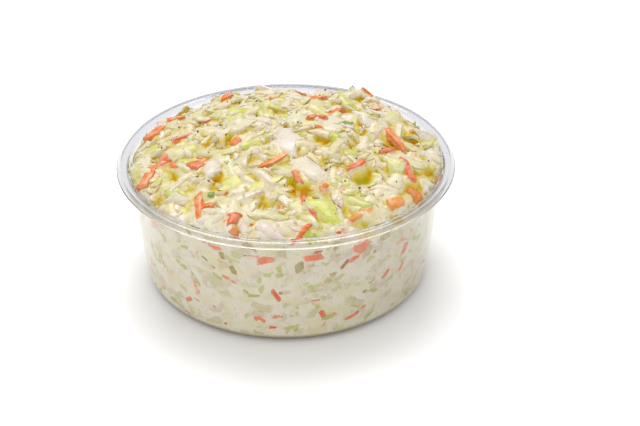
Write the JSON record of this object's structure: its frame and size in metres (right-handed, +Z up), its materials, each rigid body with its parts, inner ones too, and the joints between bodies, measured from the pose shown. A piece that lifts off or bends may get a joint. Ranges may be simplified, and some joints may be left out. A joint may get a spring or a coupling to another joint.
{
  "type": "coleslaw in a clear deli cup",
  "caption": "Creamy coleslaw of chopped cabbage and carrot, heaped above the rim of a round, clear, thin-walled plastic deli cup.",
  "frame": {"origin": "middle of the cup's foot, on the surface the cup stands on", "axes": "+Z up along the cup's axis; the higher part of the heap lies towards +X and +Y"},
  "size_m": [0.117, 0.117, 0.0543],
  "materials": {
    "clear_plastic": "thin clear thermoformed plastic, glossy",
    "dressed_cabbage": "moist cabbage in creamy dressing, soft gloss, milky white to pale yellow-green",
    "green_cabbage": "moist green outer leaf and chopped herb",
    "carrot": "moist shredded carrot, partly coated in dressing",
    "pepper": "ground black pepper"
  },
  "bodies": {
    "root": {"cup": "clear_plastic", "coleslaw": "dressed_cabbage"}
  },
  "joints": []
}
